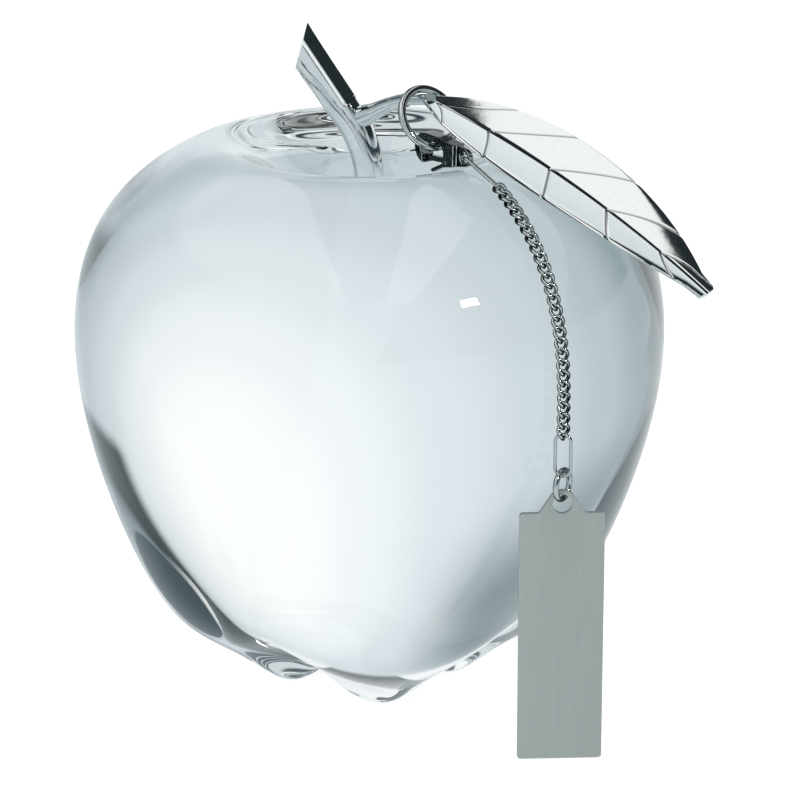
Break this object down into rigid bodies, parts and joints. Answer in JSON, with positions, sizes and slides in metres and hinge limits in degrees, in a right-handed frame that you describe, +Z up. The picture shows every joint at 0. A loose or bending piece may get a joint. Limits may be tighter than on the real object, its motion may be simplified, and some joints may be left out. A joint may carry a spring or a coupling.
{
  "type": "glass apple paperweight with a tag",
  "caption": "Solid clear glass apple with a polished metal stem and leaf, and a blank engraving tag on a short curb chain with a lobster clasp.",
  "frame": {"origin": "centre of the overall box at the level of the ground feet", "axes": "+Z up out of the table; the stem leans towards -X, and the leaf and the tag point towards +X and -Y, the pictured front being -Y"},
  "size_m": [0.0944, 0.09, 0.1032],
  "materials": {
    "clear_glass": "polished solid crystal glass, clear",
    "polished_metal": "bright polished plating on the stem and leaf",
    "clasp_metal": "bright plated clasp, rings and oval links",
    "chain_metal": "bright plated curb links",
    "tag_metal": "satin brushed plate with a smooth edge",
    "spring_steel": "plain spring strip"
  },
  "bodies": {
    "apple": {"glass_apple": "clear_glass", "stem": "polished_metal", "leaf": "polished_metal"},
    "ring": {"leaf_ring": "clasp_metal"},
    "clasp": {"clasp_body": "clasp_metal", "clasp_pin": "clasp_metal", "clasp_spring": "spring_steel"},
    "gate": {"clasp_gate": "clasp_metal"},
    "top_oval": {"upper_link": "clasp_metal"},
    "curb_01": {"chain_link_01": "chain_metal"},
    "curb_02": {"chain_link_02": "chain_metal"},
    "curb_03": {"chain_link_03": "chain_metal"},
    "curb_04": {"chain_link_04": "chain_metal"},
    "curb_05": {"chain_link_05": "chain_metal"},
    "curb_06": {"chain_link_06": "chain_metal"},
    "curb_07": {"chain_link_07": "chain_metal"},
    "curb_08": {"chain_link_08": "chain_metal"},
    "curb_09": {"chain_link_09": "chain_metal"},
    "curb_10": {"chain_link_10": "chain_metal"},
    "curb_11": {"chain_link_11": "chain_metal"},
    "curb_12": {"chain_link_12": "chain_metal"},
    "curb_13": {"chain_link_13": "chain_metal"},
    "curb_14": {"chain_link_14": "chain_metal"},
    "curb_15": {"chain_link_15": "chain_metal"},
    "curb_16": {"chain_link_16": "chain_metal"},
    "curb_17": {"chain_link_17": "chain_metal"},
    "curb_18": {"chain_link_18": "chain_metal"},
    "curb_19": {"chain_link_19": "chain_metal"},
    "curb_20": {"chain_link_20": "chain_metal"},
    "curb_21": {"chain_link_21": "chain_metal"},
    "curb_22": {"chain_link_22": "chain_metal"},
    "curb_23": {"chain_link_23": "chain_metal"},
    "curb_24": {"chain_link_24": "chain_metal"},
    "curb_25": {"chain_link_25": "chain_metal"},
    "low_oval": {"lower_link": "clasp_metal"},
    "split_ring": {"tag_ring": "clasp_metal"},
    "plate": {"tag": "tag_metal"}
  },
  "joints": [
    {"name": "ring_swing", "type": "hinge", "parent": "apple", "child": "ring", "pos_m": [0.0051, -0.00967, 0.09544], "axis": [-0.7986, -0.6018, 0], "range_deg": [0, 2]},
    {"name": "clasp_swing", "type": "hinge", "parent": "ring", "child": "clasp", "pos_m": [0.00803, -0.01357, 0.08764], "axis": [-0.7986, -0.6018, 0], "range_deg": [0, 2]},
    {"name": "gate_turn", "type": "hinge", "parent": "clasp", "child": "gate", "pos_m": [0.00999, -0.01616, 0.08603], "axis": [0.7986, 0.6018, 0], "range_deg": [0, 11], "stiffness_Nm_per_rad": 0.0006, "springref_deg": -20.05, "deforming": ["clasp_spring"]},
    {"name": "top_oval_swing", "type": "hinge", "parent": "clasp", "child": "top_oval", "pos_m": [0.01188, -0.01867, 0.08722], "axis": [-0.7986, -0.6018, 0], "range_deg": [0, 2]},
    {"name": "curb_bend_01", "type": "hinge", "parent": "top_oval", "child": "curb_01", "pos_m": [0.01644, -0.02472, 0.08435], "axis": [-0.7986, -0.6018, 0], "range_deg": [0, 2]},
    {"name": "curb_bend_02", "type": "hinge", "parent": "curb_01", "child": "curb_02", "pos_m": [0.01727, -0.02582, 0.08353], "axis": [-0.7986, -0.6018, 0], "range_deg": [0, 3]},
    {"name": "curb_bend_03", "type": "hinge", "parent": "curb_02", "child": "curb_03", "pos_m": [0.01807, -0.02689, 0.08266], "axis": [-0.7986, -0.6018, 0], "range_deg": [0, 3]},
    {"name": "curb_bend_04", "type": "hinge", "parent": "curb_03", "child": "curb_04", "pos_m": [0.01886, -0.02793, 0.08173], "axis": [-0.7986, -0.6018, 0], "range_deg": [0, 3]},
    {"name": "curb_bend_05", "type": "hinge", "parent": "curb_04", "child": "curb_05", "pos_m": [0.01962, -0.02894, 0.08074], "axis": [-0.7986, -0.6018, 0], "range_deg": [0, 3]},
    {"name": "curb_bend_06", "type": "hinge", "parent": "curb_05", "child": "curb_06", "pos_m": [0.02034, -0.0299, 0.07969], "axis": [-0.7986, -0.6018, 0], "range_deg": [0, 3]},
    {"name": "curb_bend_07", "type": "hinge", "parent": "curb_06", "child": "curb_07", "pos_m": [0.02103, -0.03082, 0.07858], "axis": [-0.7986, -0.6018, 0], "range_deg": [0, 3]},
    {"name": "curb_bend_08", "type": "hinge", "parent": "curb_07", "child": "curb_08", "pos_m": [0.02168, -0.03168, 0.0774], "axis": [-0.7986, -0.6018, 0], "range_deg": [0, 3]},
    {"name": "curb_bend_09", "type": "hinge", "parent": "curb_08", "child": "curb_09", "pos_m": [0.02229, -0.03248, 0.07616], "axis": [-0.7986, -0.6018, 0], "range_deg": [0, 3]},
    {"name": "curb_bend_10", "type": "hinge", "parent": "curb_09", "child": "curb_10", "pos_m": [0.02285, -0.03322, 0.07485], "axis": [-0.7986, -0.6018, 0], "range_deg": [0, 3]},
    {"name": "curb_bend_11", "type": "hinge", "parent": "curb_10", "child": "curb_11", "pos_m": [0.02335, -0.03389, 0.07349], "axis": [-0.7986, -0.6018, 0], "range_deg": [0, 6]},
    {"name": "curb_bend_12", "type": "hinge", "parent": "curb_11", "child": "curb_12", "pos_m": [0.02381, -0.0345, 0.07208], "axis": [-0.7986, -0.6018, 0], "range_deg": [0, 6]},
    {"name": "curb_bend_13", "type": "hinge", "parent": "curb_12", "child": "curb_13", "pos_m": [0.02421, -0.03504, 0.07063], "axis": [-0.7986, -0.6018, 0], "range_deg": [0, 6]},
    {"name": "curb_bend_14", "type": "hinge", "parent": "curb_13", "child": "curb_14", "pos_m": [0.02457, -0.03551, 0.06914], "axis": [-0.7986, -0.6018, 0], "range_deg": [0, 6]},
    {"name": "curb_bend_15", "type": "hinge", "parent": "curb_14", "child": "curb_15", "pos_m": [0.02489, -0.03593, 0.06763], "axis": [-0.7986, -0.6018, 0], "range_deg": [0, 6]},
    {"name": "curb_bend_16", "type": "hinge", "parent": "curb_15", "child": "curb_16", "pos_m": [0.02515, -0.03628, 0.06609], "axis": [-0.7986, -0.6018, 0], "range_deg": [0, 6]},
    {"name": "curb_bend_17", "type": "hinge", "parent": "curb_16", "child": "curb_17", "pos_m": [0.02538, -0.03658, 0.06454], "axis": [-0.7986, -0.6018, 0], "range_deg": [0, 6]},
    {"name": "curb_bend_18", "type": "hinge", "parent": "curb_17", "child": "curb_18", "pos_m": [0.02556, -0.03682, 0.06297], "axis": [-0.7986, -0.6018, 0], "range_deg": [0, 6]},
    {"name": "curb_bend_19", "type": "hinge", "parent": "curb_18", "child": "curb_19", "pos_m": [0.02569, -0.037, 0.06138], "axis": [-0.7986, -0.6018, 0], "range_deg": [0, 6]},
    {"name": "curb_bend_20", "type": "hinge", "parent": "curb_19", "child": "curb_20", "pos_m": [0.02579, -0.03713, 0.05979], "axis": [-0.7986, -0.6018, 0], "range_deg": [0, 6]},
    {"name": "curb_bend_21", "type": "hinge", "parent": "curb_20", "child": "curb_21", "pos_m": [0.02585, -0.03721, 0.05819], "axis": [-0.7986, -0.6018, 0], "range_deg": [0, 6]},
    {"name": "curb_bend_22", "type": "hinge", "parent": "curb_21", "child": "curb_22", "pos_m": [0.02589, -0.03725, 0.0566], "axis": [-0.7986, -0.6018, 0], "range_deg": [0, 6]},
    {"name": "curb_bend_23", "type": "hinge", "parent": "curb_22", "child": "curb_23", "pos_m": [0.02589, -0.03726, 0.055], "axis": [-0.7986, -0.6018, 0], "range_deg": [0, 6]},
    {"name": "curb_bend_24", "type": "hinge", "parent": "curb_23", "child": "curb_24", "pos_m": [0.02589, -0.03726, 0.0534], "axis": [-0.7986, -0.6018, 0], "range_deg": [0, 6]},
    {"name": "curb_bend_25", "type": "hinge", "parent": "curb_24", "child": "curb_25", "pos_m": [0.02589, -0.03726, 0.0518], "axis": [-0.7986, -0.6018, 0], "range_deg": [0, 6]},
    {"name": "low_oval_swing", "type": "hinge", "parent": "curb_25", "child": "low_oval", "pos_m": [0.02589, -0.03726, 0.0502], "axis": [-0.7986, -0.6018, 0], "range_deg": [0, 12]},
    {"name": "tag_ring_swing", "type": "hinge", "parent": "low_oval", "child": "split_ring", "pos_m": [0.02589, -0.03726, 0.04455], "axis": [-0.9744, 0.225, 0], "range_deg": [-4, 20]},
    {"name": "tag_swing", "type": "hinge", "parent": "split_ring", "child": "plate", "pos_m": [0.02589, -0.03726, 0.04076], "axis": [0.0523, -0.9986, 0], "range_deg": [-6, 25]}
  ]
}
